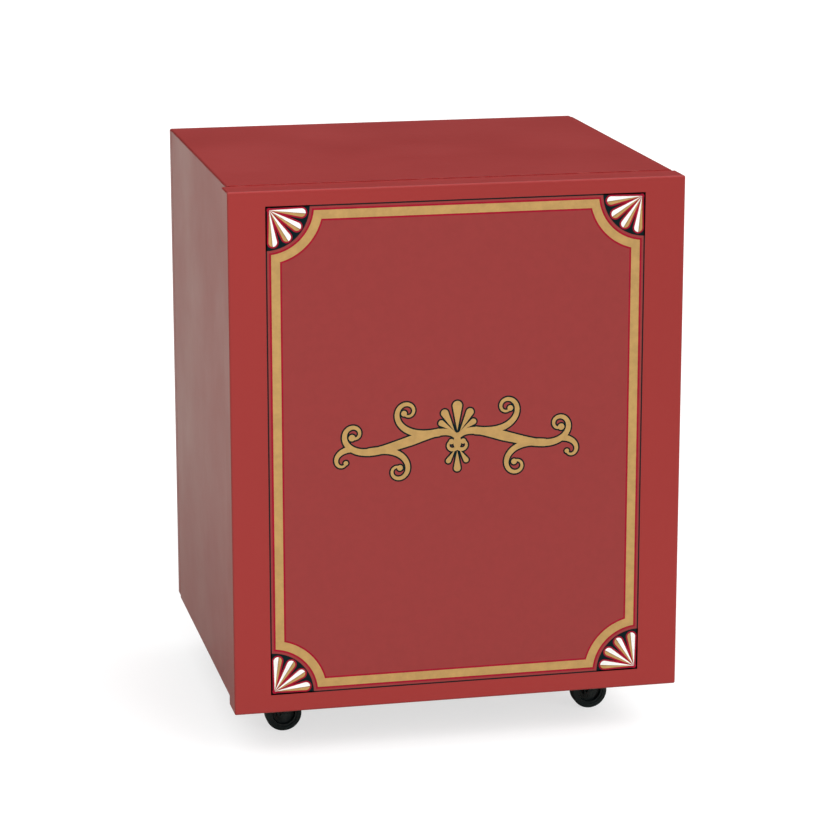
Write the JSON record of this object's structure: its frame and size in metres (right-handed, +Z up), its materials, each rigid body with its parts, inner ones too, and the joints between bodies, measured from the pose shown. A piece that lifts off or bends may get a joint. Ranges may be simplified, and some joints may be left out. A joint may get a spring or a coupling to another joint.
{
  "type": "popcorn machine base cabinet",
  "caption": "Red enamelled steel base cabinet for a popcorn machine: decorated front panel, flat top, rear hinged door with lock, inner shelf and swivel casters.",
  "frame": {"origin": "on the floor under the centre of the cabinet's box", "axes": "+Z up, the decorated front faces -Y, the door faces +Y, +X is to the right seen from the front"},
  "size_m": [0.61, 0.56, 0.7745],
  "materials": {
    "enamel": "glossy red baked enamel on sheet steel",
    "graphic": "gold, crimson, black and white printed border and ornament",
    "zinc_steel": "zinc-plated steel",
    "black_steel": "black coated steel",
    "chrome": "polished chrome plating",
    "black_plastic": "black moulded plastic",
    "tyre": "black rubber tread",
    "bumper_rubber": "soft black rubber"
  },
  "bodies": {
    "cabinet": {"wrapper": "enamel", "front_panel": "enamel", "front_frame": "enamel", "front_graphic": "graphic", "top_packing_bar": "enamel", "top_stiffener": "zinc_steel", "rear_frame": "enamel", "floor_pan": "enamel", "caster_rail_front": "zinc_steel", "caster_rail_rear": "zinc_steel", "shelf": "enamel", "shelf_angle_left": "zinc_steel", "shelf_angle_right": "zinc_steel", "catch_magnet": "black_plastic", "hinge_lower_cabinet_leaf": "zinc_steel", "hinge_upper_cabinet_leaf": "zinc_steel", "hinge_lower_pin": "zinc_steel", "hinge_upper_pin": "zinc_steel", "hinge_screws_cabinet": "zinc_steel", "caster_bolts": "zinc_steel", "caster_nuts": "zinc_steel", "caster_front_left_plate": "black_steel", "caster_front_left_kingpin": "black_steel", "caster_front_right_plate": "black_steel", "caster_front_right_kingpin": "black_steel", "caster_rear_left_plate": "black_steel", "caster_rear_left_kingpin": "black_steel", "caster_rear_right_plate": "black_steel", "caster_rear_right_kingpin": "black_steel"},
    "door": {"door_skin": "enamel", "door_liner": "enamel", "door_pull": "chrome", "lock_barrel": "chrome", "lock_nut": "zinc_steel", "door_bumpers": "bumper_rubber", "catch_strike": "zinc_steel", "hinge_lower_door_leaf": "zinc_steel", "hinge_upper_door_leaf": "zinc_steel", "hinge_screws_door": "zinc_steel"},
    "lock": {"lock_plug": "chrome", "lock_cam": "zinc_steel", "lock_cam_screw": "zinc_steel"},
    "front_left_swivel": {"caster_front_left_fork": "black_steel", "caster_front_left_axle": "black_steel"},
    "front_left_roller": {"caster_front_left_wheel": "black_plastic", "caster_front_left_tyre": "tyre"},
    "front_right_swivel": {"caster_front_right_fork": "black_steel", "caster_front_right_axle": "black_steel"},
    "front_right_roller": {"caster_front_right_wheel": "black_plastic", "caster_front_right_tyre": "tyre"},
    "rear_left_swivel": {"caster_rear_left_fork": "black_steel", "caster_rear_left_axle": "black_steel"},
    "rear_left_roller": {"caster_rear_left_wheel": "black_plastic", "caster_rear_left_tyre": "tyre"},
    "rear_left_brake": {"caster_rear_left_pedal": "black_steel"},
    "rear_right_swivel": {"caster_rear_right_fork": "black_steel", "caster_rear_right_axle": "black_steel"},
    "rear_right_roller": {"caster_rear_right_wheel": "black_plastic", "caster_rear_right_tyre": "tyre"},
    "rear_right_brake": {"caster_rear_right_pedal": "black_steel"}
  },
  "joints": [
    {"name": "door_hinge", "type": "hinge", "parent": "cabinet", "child": "door", "pos_m": [0.30235, 0.257, 0.4245], "axis": [0, 0, -1], "range_deg": [0, 170]},
    {"name": "lock_turn", "type": "hinge", "parent": "door", "child": "lock", "pos_m": [-0.26, 0.265, 0.505], "axis": [0, -1, 0], "range_deg": [0, 90]},
    {"name": "front_left_swivel_turn", "type": "hinge", "parent": "cabinet", "child": "front_left_swivel", "pos_m": [-0.238, -0.15, 0.062], "axis": [0, 0, 1], "continuous": true},
    {"name": "front_left_roll", "type": "hinge", "parent": "front_left_swivel", "child": "front_left_roller", "pos_m": [-0.218, -0.15, 0.025], "axis": [0, 1, 0], "continuous": true},
    {"name": "front_right_swivel_turn", "type": "hinge", "parent": "cabinet", "child": "front_right_swivel", "pos_m": [0.238, -0.15, 0.062], "axis": [0, 0, 1], "continuous": true},
    {"name": "front_right_roll", "type": "hinge", "parent": "front_right_swivel", "child": "front_right_roller", "pos_m": [0.218, -0.15, 0.025], "axis": [0, 1, 0], "continuous": true},
    {"name": "rear_left_swivel_turn", "type": "hinge", "parent": "cabinet", "child": "rear_left_swivel", "pos_m": [-0.238, 0.17, 0.062], "axis": [0, 0, 1], "continuous": true},
    {"name": "rear_left_roll", "type": "hinge", "parent": "rear_left_swivel", "child": "rear_left_roller", "pos_m": [-0.218, 0.17, 0.025], "axis": [0, 1, 0], "continuous": true},
    {"name": "rear_left_brake_press", "type": "hinge", "parent": "rear_left_swivel", "child": "rear_left_brake", "pos_m": [-0.206, 0.17, 0.052], "axis": [0, -1, 0], "range_deg": [0, 20]},
    {"name": "rear_right_swivel_turn", "type": "hinge", "parent": "cabinet", "child": "rear_right_swivel", "pos_m": [0.238, 0.17, 0.062], "axis": [0, 0, 1], "continuous": true},
    {"name": "rear_right_roll", "type": "hinge", "parent": "rear_right_swivel", "child": "rear_right_roller", "pos_m": [0.218, 0.17, 0.025], "axis": [0, 1, 0], "continuous": true},
    {"name": "rear_right_brake_press", "type": "hinge", "parent": "rear_right_swivel", "child": "rear_right_brake", "pos_m": [0.206, 0.17, 0.052], "axis": [0, 1, 0], "range_deg": [0, 20]}
  ]
}
